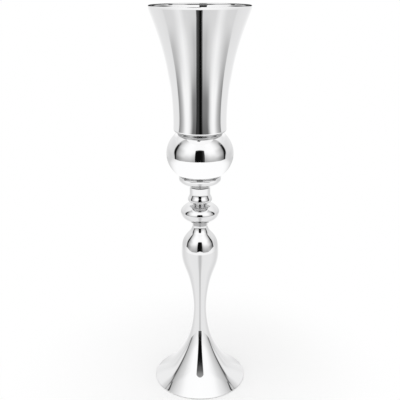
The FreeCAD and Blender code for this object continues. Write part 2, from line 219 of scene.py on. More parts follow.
def polish_marks():
    group, given, result = group_with(
        "polish marks",
        [
            ("Smoothest", "NodeSocketFloat", 0.02),
            ("Dullest", "NodeSocketFloat", 0.05),
            ("Streak Size", "NodeSocketFloat", 60.0),
            ("Wave Size", "NodeSocketFloat", 25.0),
            ("Wave Height", "NodeSocketFloat", 0.1),
        ],
        [("Roughness", "NodeSocketFloat"), ("Normal", "NodeSocketVector")],
    )
    add, join = group.nodes.new, group.links.new
    place = add("ShaderNodeTexCoord")
    stretch = add("ShaderNodeMapping")
    stretch.inputs["Scale"].default_value = (1, 1, 6)
    streaks = add("ShaderNodeTexNoise")
    streaks.inputs["Detail"].default_value = 4
    spread = add("ShaderNodeMapRange")
    spread.inputs["From Min"].default_value = 0.3
    spread.inputs["From Max"].default_value = 0.7
    waves = add("ShaderNodeTexNoise")
    waves.inputs["Detail"].default_value = 0
    bump = add("ShaderNodeBump")
    bump.inputs["Distance"].default_value = 0.01 * mm
    join(place.outputs["Object"], stretch.inputs["Vector"])
    join(stretch.outputs["Vector"], streaks.inputs["Vector"])
    join(given.outputs["Streak Size"], streaks.inputs["Scale"])
    join(streaks.outputs["Fac"], spread.inputs["Value"])
    join(given.outputs["Smoothest"], spread.inputs["To Min"])
    join(given.outputs["Dullest"], spread.inputs["To Max"])
    join(spread.outputs["Result"], result.inputs["Roughness"])
    join(place.outputs["Object"], waves.inputs["Vector"])
    join(given.outputs["Wave Size"], waves.inputs["Scale"])
    join(waves.outputs["Fac"], bump.inputs["Height"])
    join(given.outputs["Wave Height"], bump.inputs["Strength"])
    join(bump.outputs["Normal"], result.inputs["Normal"])
    return group


polish = polish_marks()
finishes = {}


def new_finish(slot):
    """Empty material with its Principled shader."""
    material = bpy.data.materials.new(slot)
    material.use_nodes = True
    finishes[slot] = material
    return material, material.node_tree, material.node_tree.nodes["Principled BSDF"]


def polished_metal(slot, colour, smoothest, dullest, wave_height):
    material, tree, shader = new_finish(slot)
    shader.inputs["Base Color"].default_value = (*colour, 1)
    shader.inputs["Metallic"].default_value = 1
    marks = tree.nodes.new("ShaderNodeGroup")
    marks.node_tree = polish
    marks.inputs["Smoothest"].default_value = smoothest
    marks.inputs["Dullest"].default_value = dullest
    marks.inputs["Wave Height"].default_value = wave_height
    tree.links.new(marks.outputs["Roughness"], shader.inputs["Roughness"])
    tree.links.new(marks.outputs["Normal"], shader.inputs["Normal"])
    return material


# %% Chrome, zinc and bare steel
chrome_tone = (0.93, 0.93, 0.935)
chrome = polished_metal("chrome", chrome_tone, 0.015, 0.04, 0.15)
polished_metal("zinc_steel", (0.66, 0.67, 0.69), 0.22, 0.34, 0.5)
polished_metal("bare_steel", (0.45, 0.45, 0.46), 0.3, 0.45, 0.6)

# %% [markdown]
# Light that goes from one chrome face to the next loses strength each time, so the narrow places of
# the stack look darker than the open faces. That shade is painted: the first face is kept bright, and
# chrome that is seen in it gets a darker base colour, a painted shade. That happens once, at a ray depth
# of 1, because the inside of the cup passes light on many times and would turn black.

# %% Painted shade of chrome seen in chrome
first_colour, second_colour, mixed_colour = 6, 7, 2  # places of the colour sockets on a Mix node
# darker base colour for chrome seen in other chrome: painted shade
painted_shade_tone = 0.55

chrome_tree = chrome.node_tree
chrome_shader = chrome_tree.nodes["Principled BSDF"]
chrome_ray = chrome_tree.nodes.new("ShaderNodeLightPath")
second_hit = chrome_tree.nodes.new("ShaderNodeMath")
second_hit.operation = "COMPARE"
second_hit.inputs[1].default_value = 1
second_hit.inputs[2].default_value = 0.5
chrome_shade_mix = chrome_tree.nodes.new("ShaderNodeMix")
chrome_shade_mix.data_type = "RGBA"
chrome_shade_mix.inputs[first_colour].default_value = (*chrome_tone, 1)
chrome_shade_mix.inputs[second_colour].default_value = (painted_shade_tone, painted_shade_tone, painted_shade_tone, 1)
chrome_tree.links.new(chrome_ray.outputs["Ray Depth"], second_hit.inputs[0])
chrome_tree.links.new(second_hit.outputs[0], chrome_shade_mix.inputs["Factor"])
chrome_tree.links.new(chrome_shade_mix.outputs[mixed_colour], chrome_shader.inputs["Base Color"])
print("metals:", sorted(finishes))

# %% [markdown]
# ## The plain finishes
#
# The weight is a rough casting, the cover has satin black paint, the seal is smooth rubber and the
# ring that the vase stands on is felt. All four are dark, and they differ in grain. One group of
# nodes gives a fine grain whose size and depth each finish chooses.

# %% Node group for grain, and the four plain finishes
def fine_grain():
    group, given, result = group_with(
        "fine grain",
        [
            ("Dark", "NodeSocketColor", (0.02, 0.02, 0.02, 1)),
            ("Light", "NodeSocketColor", (0.05, 0.05, 0.05, 1)),
            ("Size", "NodeSocketFloat", 900.0),
            ("Depth", "NodeSocketFloat", 0.4),
        ],
        [("Color", "NodeSocketColor"), ("Normal", "NodeSocketVector")],
    )
    add, join = group.nodes.new, group.links.new
    place = add("ShaderNodeTexCoord")
    grain = add("ShaderNodeTexNoise")
    grain.inputs["Detail"].default_value = 6
    mix = add("ShaderNodeMix")
    mix.data_type = "RGBA"
    bump = add("ShaderNodeBump")
    bump.inputs["Distance"].default_value = 0.3 * mm
    join(place.outputs["Object"], grain.inputs["Vector"])
    join(given.outputs["Size"], grain.inputs["Scale"])
    join(grain.outputs["Fac"], mix.inputs["Factor"])
    join(given.outputs["Dark"], mix.inputs[first_colour])
    join(given.outputs["Light"], mix.inputs[second_colour])
    join(mix.outputs[mixed_colour], result.inputs["Color"])
    join(grain.outputs["Fac"], bump.inputs["Height"])
    join(given.outputs["Depth"], bump.inputs["Strength"])
    join(bump.outputs["Normal"], result.inputs["Normal"])
    return group


grain_group = fine_grain()


def grained(slot, dark, light, size, depth, roughness):
    material, tree, shader = new_finish(slot)
    shader.inputs["Roughness"].default_value = roughness
    grain = tree.nodes.new("ShaderNodeGroup")
    grain.node_tree = grain_group
    grain.inputs["Dark"].default_value = (*dark, 1)
    grain.inputs["Light"].default_value = (*light, 1)
    grain.inputs["Size"].default_value = size
    grain.inputs["Depth"].default_value = depth
    tree.links.new(grain.outputs["Color"], shader.inputs["Base Color"])
    tree.links.new(grain.outputs["Normal"], shader.inputs["Normal"])
    return shader


grained("cast_weight", (0.06, 0.06, 0.06), (0.14, 0.14, 0.14), 700, 0.8, 0.7)
grained("cover_paint", (0.02, 0.02, 0.02), (0.032, 0.032, 0.032), 1200, 0.15, 0.38)
grained("seal_rubber", (0.02, 0.02, 0.02), (0.035, 0.035, 0.035), 800, 0.1, 0.55)
felt = grained("felt", (0.012, 0.012, 0.014), (0.05, 0.05, 0.055), 1600, 1.0, 0.95)
felt.inputs["Sheen Weight"].default_value = 0.4
metals = ("chrome", "zinc_steel", "bare_steel")
print("plain finishes:", [slot for slot in finishes if slot not in metals])

# %% [markdown]
# ## The pieces that keep their measured mesh
#
# The rod, the tubes, the weight and the fasteners under the foot are plain shapes, and most of them
# never show. Their meshes stay as they are, and only take the finishes made above.

# %% Give every measured piece its finish
slot_of = {part["node"]: part["material_slot"] for part in record["subparts"]}
for name, node in nodes.items():
    finish = finishes[slot_of[name]]
    for index in range(len(node.data.materials)):
        node.data.materials[index] = finish
    if not node.data.materials:
        node.data.materials.append(finish)
print("measured pieces with a finish:", len(nodes))

# %% [markdown]
# ## The foot
#
# The foot is one spun sheet that flares from a slim waist to a thin edge just above the table. Its
# outline leaves the edge at the slope of the flare and arrives upright at the waist, and three
# control points in between set how fast it rises.

# %% Foot
foot_radius = 69.0
foot_lift = 0.4
foot_slope = 32.0
foot_pull = 20.9
waist_radius = 9.36
waist_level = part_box("foot_bell")[1][2] / mm

foot_edge = (foot_radius, foot_lift + sheet * math.cos(math.radians(foot_slope)))
waist = (waist_radius, waist_level)
foot_run = (
    [foot_edge, step(foot_edge, foot_pull, 180 - foot_slope)]
    + between(foot_edge, waist, [(0.50, 0.22), (0.954, 0.59), (1.0, 0.923)])
    + [waist]
)
foot = spin_outline(draw_outline("foot", [foot_run]))
thicken(foot)
finish_piece(foot, "chrome", "foot_bell")

# %% [markdown]
# ## The stem
#
# The stem is a baluster: it swells slowly from the waist to a full belly, closes quickly above it,
# and ends in a short neck that hollows outwards to meet the knop. One smooth run makes the body,
# a round run makes the hollow of the neck, and a straight one its upper edge.

# %% Stem
knop_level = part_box("stem_body")[1][2] / mm
belly = (27.7, waist_level + 95.0)
neck_radius = 11.3
neck_round = 15.3
neck_turn = 44.0
neck_pull = 10.5
neck_centre = (neck_radius + neck_round, knop_level - 1.3)
neck_start = step(neck_centre, neck_round, 180 + neck_turn)

stem_run = (
    [waist]
    + between(waist, belly, [(0.0, 0.135), (0.261, 0.519), (1.03, 0.817), (1.002, 1.117)])
    + [step(neck_start, neck_pull, neck_turn - 90), neck_start]
)
neck_run = round_run(neck_centre, neck_round, neck_round, 180 + neck_turn, 180)
stem = spin_outline(draw_outline("stem", [stem_run, neck_run, [neck_run[-1], (neck_radius, knop_level)]]))
thicken(stem)
finish_piece(stem, "chrome", "stem_body")

# %% [markdown]
# ## The knop
#
# The knop is pressed in two halves. They are welded at the widest level and polished until the weld
# is gone, so one smooth shell stands for both here. Flat lands at its foot and top carry the pieces
# next to it.

# %% Knop
bore = 4.3
knop_widest = (27.8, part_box("knop_lower_half")[1][2] / mm)
knop_foot = (12.1, knop_level)
knop_land = (16.0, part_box("knop_upper_half")[1][2] / mm)

knop_lower = between(knop_foot, knop_widest, [(0.06, 0.0), (0.08, 0.22), (1.0, 0.60)])
knop_upper = between(knop_widest, knop_land, [(0.0, 0.33), (0.52, 0.83), (0.785, 1.0)])
knop_runs = [
    [(bore, knop_level), knop_foot],
    [knop_foot] + knop_lower + [knop_widest],
    [knop_widest] + knop_upper + [knop_land],
    [knop_land, (bore, knop_land[1])],
]
knop = spin_outline(draw_outline("knop", knop_runs))
thicken(knop)
finish_piece(knop, "chrome", "knop_upper_half", "knop_lower_half")

# %% [markdown]
# ## The collar
#
# The collar is turned from the solid, so it gets a closed outline instead of a thin wall. It is a
# plain ring with its corners broken.

# %% Collar
collar_radius = 9.8
corner = 0.6
collar_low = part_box("neck_collar")[0][2] / mm
spool_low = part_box("neck_collar")[1][2] / mm

collar_runs = [
    [(bore, collar_low), (collar_radius - corner, collar_low)],
    round_run((collar_radius - corner, collar_low + corner), corner, corner, -90, 0),
    [(collar_radius, collar_low + corner), (collar_radius, spool_low - corner)],
    round_run((collar_radius - corner, spool_low - corner), corner, corner, 0, 90),
    [(collar_radius - corner, spool_low), (bore, spool_low)],
    [(bore, spool_low), (bore, collar_low)],
]
collar = spin_outline(draw_outline("collar", collar_runs))
finish_piece(collar, "chrome", "neck_collar")

# %% [markdown]
# ## The spool
#
# The spool is turned from the solid too. It stands on a rounded bead, draws in to a short straight
# neck, and is cored out from above, where the dish hides the hollow.

# %% Spool
bead_radius = 17.4
bead_round = 2.0
spool_radius = 14.7
core_radius = 11.0
dish_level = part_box("neck_spool")[1][2] / mm
core_floor = dish_level - 14.0
bead_side = (bead_radius, spool_low + bead_round)
spool_neck = (spool_radius, spool_low + 11.9)
half_way = bead_side[1] + (spool_neck[1] - bead_side[1]) / 2

spool_runs = [
    [(bore, spool_low), (bead_radius - bead_round, spool_low)],
    round_run((bead_radius - bead_round, spool_low + bead_round), bead_round, bead_round, -90, 0),
    [bead_side, (bead_radius, half_way), (spool_radius, half_way), spool_neck],
    [spool_neck, (spool_radius, dish_level)],
    [(spool_radius, dish_level), (core_radius, dish_level)],
    [(core_radius, dish_level), (core_radius, core_floor)],
    [(core_radius, core_floor), (bore, core_floor)],
    [(bore, core_floor), (bore, spool_low)],
]
spool = spin_outline(draw_outline("spool", spool_runs))
finish_piece(spool, "chrome", "neck_spool")

# %% [markdown]
# ## The dish
#
# The dish is a shallow pressed bowl. Its wall swells out and turns in at the top to a narrow round
# lip, and the ball rests on that lip.

# %% Dish
dish_radius = 29.9
lip_round = 1.6
dish_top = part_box("ball_dish")[1][2] / mm
dish_floor = (12.9, dish_level)
dish_side = (dish_radius, dish_top - lip_round)

dish_runs = [
    [(bore, dish_level), dish_floor],
    [dish_floor] + between(dish_floor, dish_side, [(0.04, 0.0), (0.47, 0.23), (1.0, 0.565), (1.0, 0.80)])
    + [dish_side],
    round_run((dish_radius - lip_round, dish_top - lip_round), lip_round, lip_round, 0, 90),
]
dish = spin_outline(draw_outline("dish", dish_runs))
thicken(dish)
finish_piece(dish, "chrome", "ball_dish")

# %% [markdown]
# ## The ball
#
# The ball is a sphere pressed a little flat. It starts as a sphere with many segments at its full
# width, is pressed flat by scaling its height, and is cut level at its lands with bisect, as the two
# pressed halves are trimmed. The open edges are then drawn in to the hole for the rod.

# %% Ball
ball_radius = 47.3
ball_half_height = 40.3
ball_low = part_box("ball_lower_half")[0][2]
ball_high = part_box("ball_upper_half")[1][2]
ball_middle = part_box("ball_lower_half")[1][2]
level_slack = 0.01 * mm

deselect_all()
bpy.ops.mesh.primitive_uv_sphere_add(
    segments=turns_round, ring_count=120, radius=ball_radius * mm, location=(0, 0, ball_middle)
)
ball = bpy.context.object
ball.name = "ball"
ball.scale.z = ball_half_height / ball_radius
bpy.ops.object.transform_apply(location=True, rotation=True, scale=True)

bpy.ops.object.mode_set(mode="EDIT")
for level, remove_above in ((ball_high, True), (ball_low, False)):
    bpy.ops.mesh.select_all(action="SELECT")
    bpy.ops.mesh.bisect(
        plane_co=(0, 0, level), plane_no=(0, 0, 1),
        clear_outer=remove_above, clear_inner=not remove_above,
    )
    bpy.ops.object.mode_set(mode="OBJECT")
    edge = [v for v in ball.data.vertices if abs(v.co.z - level) < level_slack]
    edge_radius = math.hypot(edge[0].co.x, edge[0].co.y)
    for vertex in ball.data.vertices:
        vertex.select = abs(vertex.co.z - level) < level_slack
    bpy.ops.object.mode_set(mode="EDIT")
    bpy.ops.mesh.select_mode(type="VERT")
    bpy.ops.mesh.extrude_region_move()
    draw_in = bore * mm / edge_radius
    bpy.ops.transform.resize(value=(draw_in, draw_in, 1), center_override=(0, 0, level))
    print("land at", round(level / mm, 2), "mm with an outer radius of", round(edge_radius / mm, 2), "mm")
bpy.ops.object.mode_set(mode="OBJECT")
thicken(ball)
finish_piece(ball, "chrome", "ball_upper_half", "ball_lower_half")

# %% [markdown]
# ## The cup
#
# The cup has a flat floor, a rounded corner and a wall that stays nearly straight and then flares to
# the mouth. Its edge is a short upright band, and the sheet is rolled over it and tucked down inside,
# which makes the edge stiff and safe to touch. The outline follows the outer face of the sheet all
# the way, over the roll and down the fold, so one thickness makes the wall and the hem.

# %% Cup
throat_radius = 37.3
mouth_radius = 68.3
corner_round = 5.2
mouth_slope = 17.3
mouth_round = 5.0
mouth_pull = 9.3
hem_round = 1.1
hem_height = 2.4
cup_low, cup_high = (corner_point[2] / mm for corner_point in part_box("trumpet_cup"))
band_level = cup_high - hem_height

floor_edge = (throat_radius - corner_round, cup_low)
throat = (throat_radius, cup_low + corner_round)
mouth_centre = (mouth_radius - mouth_round, band_level)
flare_finish = step(mouth_centre, mouth_round, -mouth_slope)
flare_pull = step(flare_finish, mouth_pull, -90 - mouth_slope)
hem_centre = (mouth_radius - hem_round, cup_high - hem_round)

cup_runs = [
    [(bore, cup_low), floor_edge],
    round_run((floor_edge[0], throat[1]), corner_round, corner_round, -90, 0),
    [throat] + between(throat, flare_finish, [(0.0, 0.034), (0.044, 0.563)]) + [flare_pull, flare_finish],
    round_run(mouth_centre, mouth_round, mouth_round, -mouth_slope, 0),
    [(mouth_radius, band_level), (mouth_radius, hem_centre[1])],
    round_run(hem_centre, hem_round, hem_round, 0, 90),
    round_run(hem_centre, hem_round, hem_round, 90, 180),
    [(mouth_radius - 2 * hem_round, hem_centre[1]), (mouth_radius - 2 * hem_round, band_level)],
]
cup = spin_outline(draw_outline("cup", cup_runs))
thicken(cup)
finish_piece(cup, "chrome", "trumpet_cup")

# %% [markdown]
# ## The studio
#
# Chrome shows its studio, so the studio is modelled as carefully as the vase. The vase stands on
# a plain white floor in a white room. In front of it, at arm's length, stands a curved screen: two
# pale panels that are grey at the foot and white higher up, with a dark gap between them and dark
# outer edges. Smaller cards round the vase carry the same stripes to the pieces that look past the
# screen. Each of them shows on one side only and is clear from the other. The camera sees none.

# %% Helpers for the studio's materials
def shade(value, reflectance=0.93):
    """Brightness of a card that a screen value of 0 to 255 stands for, seen in chrome."""
    level = value / 255
    linear = level / 12.92 if level <= 0.04045 else ((level + 0.055) / 1.055) ** 2.4
    return linear / reflectance


class Wiring:
    """Short names for adding and joining the nodes of one material."""

    def __init__(self, tree):
        self.tree = tree
        self.tree.nodes.clear()

    def add(self, kind):
        return self.tree.nodes.new(kind)

    def join(self, source, target):
        self.tree.links.new(source, target)

    def value(self, operation, *inputs):
        node = self.add("ShaderNodeMath")
        node.operation = operation
        for index, given in enumerate(inputs):
            if isinstance(given, (int, float)):
                node.inputs[index].default_value = given
            else:
                self.join(given, node.inputs[index])
        return node.outputs[0]

    def ramp(self, source, stops):
        """Follows stops of (place, value) along a measure."""
        low, high = stops[0][0], stops[-1][0]
        spread = self.add("ShaderNodeMapRange")
        spread.inputs["From Min"].default_value = low
        spread.inputs["From Max"].default_value = high
        self.join(source, spread.inputs["Value"])
        ramp = self.add("ShaderNodeValToRGB")
        elements = ramp.color_ramp.elements
        while len(elements) < len(stops):
            elements.new(0.5)
        for element, (place, value) in zip(elements, stops):
            element.position = (place - low) / (high - low)
        for element, (place, value) in zip(elements, stops):
            element.color = (value, value, value, 1)
        self.join(spread.outputs["Result"], ramp.inputs["Fac"])
        return ramp.outputs["Color"]

    def tones(self, source, stops):
        """Grey that follows stops of (place, screen value) along a measure."""
        return self.ramp(source, [(place, shade(value)) for place, value in stops])

    def mask(self, source, low, high):
        """0 below one level and 1 above another, smooth between."""
        spread = self.add("ShaderNodeMapRange")
        spread.interpolation_type = "SMOOTHSTEP"
        spread.inputs["From Min"].default_value = low
        spread.inputs["From Max"].default_value = high
        self.join(source, spread.inputs["Value"])
        return spread.outputs["Result"]

    def within(self, source, low, high, soft):
        """1 between two levels and 0 outside them."""
        above = self.mask(source, low - soft, low + soft)
        below = self.value("SUBTRACT", 1, self.mask(source, high - soft, high + soft))
        return self.value("MULTIPLY", above, below)

    def blend(self, factor, first, second):
        mix = self.add("ShaderNodeMix")
        mix.data_type = "RGBA"
        self.join(factor, mix.inputs["Factor"])
        self.join(first, mix.inputs[first_colour])
        self.join(second, mix.inputs[second_colour])
        return mix.outputs[mixed_colour]


def round_place(wiring):
    """Angle round the vase in degrees from the camera's side, height and distance in mm."""
    place = wiring.add("ShaderNodeTexCoord")
    split = wiring.add("ShaderNodeSeparateXYZ")
    wiring.join(place.outputs["Object"], split.inputs["Vector"])
    x, y, z = split.outputs
    turn = wiring.value("ARCTAN2", x, wiring.value("MULTIPLY", y, -1))
    angle = wiring.value("MULTIPLY", turn, 180 / math.pi)
    height = wiring.value("MULTIPLY", z, 1000)
    across = wiring.value("MULTIPLY", x, x)
    along = wiring.value("MULTIPLY", y, y)
    distance = wiring.value("MULTIPLY", wiring.value("SQRT", wiring.value("ADD", across, along)), 1000)
    return angle, height, distance


def only_for_metal(card, material):
    """Gives a studio card its material and hides it from all but the reflections in the vase."""
    bpy.ops.object.transform_apply(location=True, rotation=True, scale=True)
    card.data.materials.append(material)
    card.visible_camera = False
    card.visible_diffuse = False
    card.visible_transmission = False
    card.visible_volume_scatter = False
    card.visible_shadow = False
    print("studio card:", card.name)


def glowing(name, paint, shows="both"):
    """Material that glows with a painted tone on its outer side, its inner side or both."""
    material = bpy.data.materials.new(name)
    material.use_nodes = True
    wiring = Wiring(material.node_tree)
    light = wiring.add("ShaderNodeEmission")
    wiring.join(paint(wiring, *round_place(wiring)), light.inputs["Color"])
    surface = light.outputs["Emission"]
    if shows != "both":
        clear = wiring.add("ShaderNodeBsdfTransparent").outputs["BSDF"]
        side = wiring.add("ShaderNodeNewGeometry")
        either = wiring.add("ShaderNodeMixShader")
        wiring.join(side.outputs["Backfacing"], either.inputs["Fac"])
        wiring.join(surface if shows == "outer" else clear, either.inputs[1])
        wiring.join(clear if shows == "outer" else surface, either.inputs[2])
        surface = either.outputs["Shader"]
    out = wiring.add("ShaderNodeOutputMaterial")
    wiring.join(surface, out.inputs["Surface"])
    return material


def cone_card(name, low, high, material):
    """Open cone round the vase between two rings, each given by its radius and level."""
    deselect_all()
    bpy.ops.mesh.primitive_cone_add(
        vertices=192, radius1=low[0] * mm, radius2=high[0] * mm, depth=(high[1] - low[1]) * mm,
        end_fill_type="NOTHING", location=(0, 0, (high[1] + low[1]) / 2 * mm),
    )
    card = bpy.context.object
    card.name = name
    only_for_metal(card, material)


# %% [markdown]
# The screen is painted by height and by the angle round the vase. Its panels brighten upwards, as
# large lamps that hang high do, and grow darker towards their outer edges, where the light falls
# on them at a slant. The gap is dark up to above the mouth and then fades.

# %% Screen with two panels
screen_radius = 750.0
screen_high = 1600.0


def screen_paint(wiring, angle, height, distance):
    spread = wiring.value("ABSOLUTE", angle)
    inner = wiring.tones(height, [
        (120, 150), (250, 168), (350, 183), (450, 199), (550, 215), (650, 235), (760, 250),
    ])
    outer = wiring.tones(height, [
        (100, 166), (175, 180), (300, 203), (400, 219), (500, 238), (600, 250), (760, 254),
    ])
    body = wiring.blend(wiring.mask(spread, 14, 34), inner, outer)
    outwards = wiring.value("MULTIPLY", wiring.mask(height, 250, 600), 3.5)
    edge = wiring.value("SUBTRACT", spread, outwards)
    low = wiring.tones(edge, [
        (45, 195), (60, 183), (70, 160), (78, 134), (84, 112), (86.5, 36), (88.5, 12), (91.5, 14),
        (93, 214), (120, 209), (150, 222), (180, 232),
    ])
    middle = wiring.tones(edge, [
        (45, 240), (60, 220), (70, 192), (78, 166), (82, 140), (85, 44), (88, 8), (93, 10),
        (95, 130), (97, 218), (120, 223), (180, 238),
    ])
    high = wiring.tones(edge, [
        (45, 253), (60, 243), (70, 220), (80, 192), (84, 150), (87, 70), (90, 30), (94, 60),
        (98, 215), (100, 232), (180, 235),
    ])
    top = wiring.tones(edge, [
        (45, 253), (60, 244), (70, 228), (80, 205), (90, 190), (96, 192), (102, 240), (180, 238),
    ])
    side = wiring.blend(wiring.mask(height, 250, 450), low, middle)
    side = wiring.blend(wiring.mask(height, 620, 860), side, high)
    side = wiring.blend(wiring.mask(height, 800, 1150), side, top)
    panel = wiring.blend(wiring.mask(spread, 45, 62), body, side)
    gap = wiring.tones(angle, [(-20, 12), (5, 12), (6.5, 26), (9.5, 26), (10.5, 58), (20, 62)])
    lean = wiring.value("MULTIPLY", wiring.value("MULTIPLY", angle, angle), 0.25)
    fade = wiring.value("SUBTRACT", 1, wiring.mask(wiring.value("ADD", height, lean), 860, 965))
    gap_here = wiring.value("MULTIPLY", wiring.within(angle, -16.5, 15.5, 0.5), fade)
    panel = wiring.blend(gap_here, panel, gap)
    foot_of_screen = wiring.ramp(spread, [
        (0, 150), (4, 140), (9, 130), (14, 120), (20, 95), (50, 85), (65, 112), (75, 143),
        (85, 165), (100, 170),
    ])
    floor_tone = wiring.tones(spread, [
        (0, 246), (75, 243), (97, 226), (115, 209), (150, 214), (180, 235),
    ])
    over = wiring.mask(wiring.value("SUBTRACT", height, foot_of_screen), -5, 5)
    return wiring.blend(over, floor_tone, panel)


deselect_all()
bpy.ops.mesh.primitive_cylinder_add(
    vertices=192, radius=screen_radius * mm, depth=screen_high * mm, end_fill_type="NOTHING",
    location=(0, 0, screen_high / 2 * mm),
)
screen = bpy.context.object
screen.name = "studio_screen"
only_for_metal(screen, glowing("screen", screen_paint))

# %% [markdown]
# The cup leans over the floor and looks down steeply. A bowl that opens upwards round its throat
# meets each of its lines of sight once: what the low wall shows lies near the rim of the throat,
# and what the flare shows lies further out. The stripes stay nearly the same width all the way, and
# its outermost part is plain and pale for the band round the mouth.

# %% Bowl for the cup
def cup_paint(wiring, angle, height, distance):
    spread = wiring.value("ABSOLUTE", angle)
    inwards = wiring.value("ABSOLUTE", wiring.value("SUBTRACT", angle, 1))
    low = wiring.tones(inwards, [
        (0, 97), (20, 106), (22, 128), (24, 165), (27, 203), (29, 228), (33, 242), (38, 248),
        (60, 246),
    ])
    middle = wiring.tones(inwards, [
        (0, 123), (19, 125), (23, 136), (26, 158), (29, 201), (33, 227), (38, 247), (60, 246),
    ])
    high = wiring.tones(spread, [
        (0, 188), (15, 185), (21, 203), (28, 216), (34, 230), (42, 242), (48, 237), (56, 218),
    ])
    top = wiring.tones(spread, [
        (0, 207), (20, 212), (32, 215), (36, 224), (42, 234), (48, 228), (56, 215),
    ])
    inner = wiring.blend(wiring.mask(distance, 48, 88), low, middle)
    inner = wiring.blend(wiring.mask(distance, 88, 132), inner, high)
    inner = wiring.blend(wiring.mask(distance, 132, 156), inner, top)
    shift = wiring.ramp(distance, [(45, 17), (61, 13), (77, 9), (102, 4), (132, 0), (190, 0)])
    edge = wiring.value("ADD", spread, shift)
    low_side = wiring.tones(edge, [
        (50, 248), (54, 247), (58, 240), (62, 220), (66, 196), (72, 170), (77, 150), (80, 146),
        (81.5, 118), (83, 222), (87, 230), (120, 231), (135, 250), (200, 252),
    ])
    high_side = wiring.tones(edge, [
        (50, 232), (58, 214), (62, 206), (68, 194), (74, 184), (81, 184), (84, 226), (125, 231),
        (142, 242), (200, 250),
    ])
    top_side = wiring.tones(edge, [
        (50, 223), (58, 214), (78, 212), (83, 222), (100, 226), (120, 228), (140, 239), (165, 249),
        (200, 250),
    ])
    side = wiring.blend(wiring.mask(distance, 102, 136), low_side, high_side)
    side = wiring.blend(wiring.mask(distance, 136, 162), side, top_side)
    panel = wiring.blend(wiring.mask(edge, 50, 56), inner, side)
    band = wiring.tones(spread, [
        (0, 249), (40, 243), (60, 232), (75, 226), (125, 229), (140, 239), (180, 249),
    ])
    panel = wiring.blend(wiring.mask(distance, 192, 222), panel, band)
    widening = wiring.ramp(distance, [(45, 1.45), (112, 1.45), (150, 1.0), (190, 1.0)])
    narrow = wiring.value("DIVIDE", angle, widening)
    low_gap = wiring.tones(narrow, [
        (-7.5, 46), (-5.6, 48), (-4.8, 54), (-3.2, 52), (-2.2, 42), (-1.3, 41), (-1.0, 11),
        (3.25, 11), (3.5, 57), (4.5, 62), (5.3, 94),
    ])
    high_gap = wiring.tones(narrow, [
        (-7.5, 88), (-5.9, 88), (-5.3, 63), (-3.4, 64), (-2.4, 46), (-1.3, 45), (-1.0, 11),
        (3.25, 10), (3.5, 108), (5.3, 107),
    ])
    gap = wiring.blend(wiring.mask(distance, 100, 140), low_gap, high_gap)
    below_band = wiring.value("SUBTRACT", 1, wiring.mask(distance, 188, 204))
    gap_here = wiring.value("MULTIPLY", wiring.within(narrow, -7.6, 5.25, 0.15), below_band)
    return wiring.blend(gap_here, panel, gap)


cup_bowl = glowing("cup bowl", cup_paint, shows="inner")
cone_card("studio_cup_bowl", (45, 388.6), (300, 564.5), cup_bowl)

# %% [markdown]
# The inside of the mouth looks up and forward, out over the front of the rim. A wide ring that hangs
# above the mouth gives it the gap, bright panels and dark ends.

# %% Ring for the inside of the mouth
def mouth_paint(wiring, angle, height, distance):
    spread = wiring.value("ABSOLUTE", angle)
    wall = wiring.tones(spread, [
        (0, 250), (88, 246), (100, 205), (110, 150), (118, 85), (126, 42), (158, 25), (180, 30),
    ])
    gap = wiring.tones(angle, [(-25, 10), (5, 10)])
    sky = wiring.tones(spread, [(0, 250), (180, 225)])
    wall = wiring.blend(wiring.mask(height, 700, 760), wall, sky)
    high_up = wiring.mask(height, 586, 603)
    gap_here = wiring.value("MULTIPLY", wiring.within(angle, -22.5, 2.2, 0.5), high_up)
    return wiring.blend(gap_here, wall, gap)


mouth_ring = glowing("mouth ring", mouth_paint, shows="inner")
cone_card("studio_mouth_ring", (130, 562), (130, 820), mouth_ring)

# %% [markdown]
# The ball would see that ring from below, past the cup. A flat shelf under it keeps it out of the
# ball and shows it a plain pale tone instead.

# %% Shelf under the ring
def shelf_paint(wiring, angle, height, distance):
    return wiring.tones(wiring.value("ABSOLUTE", angle), [
        (0, 250), (90, 245), (120, 225), (180, 225),
    ])


mouth_shelf = glowing("mouth shelf", shelf_paint, shows="inner")
cone_card("studio_mouth_shelf", (131, 561.5), (88, 561.5), mouth_shelf)

# %% [markdown]
# The ball sees a floor that is whiter than the one under the foot, since the lamps stand over it. Its
# card starts as a flat ring round the lip of the dish and goes over into a low cone.

# %% Ring and cone for the ball
def ball_paint(wiring, angle, height, distance):
    spread = wiring.value("ABSOLUTE", angle)
    return wiring.tones(spread, [
        (0, 254), (66, 253), (78, 248), (88, 238), (97, 228), (103, 218), (112, 208), (145, 205),
        (180, 180),
    ])


ball_floor = glowing("ball floor", ball_paint, shows="outer")
cone_card("studio_ball_cone", (700, 154), (82, 327), ball_floor)
cone_card("studio_ball_ring", (82, 327), (32, 328), ball_floor)

# %% [markdown]
# The foot leans back and looks up. Its slim upper part sees a wide cone that shows from below, with
# the gap, the two panels and a dark line at their outer edges.

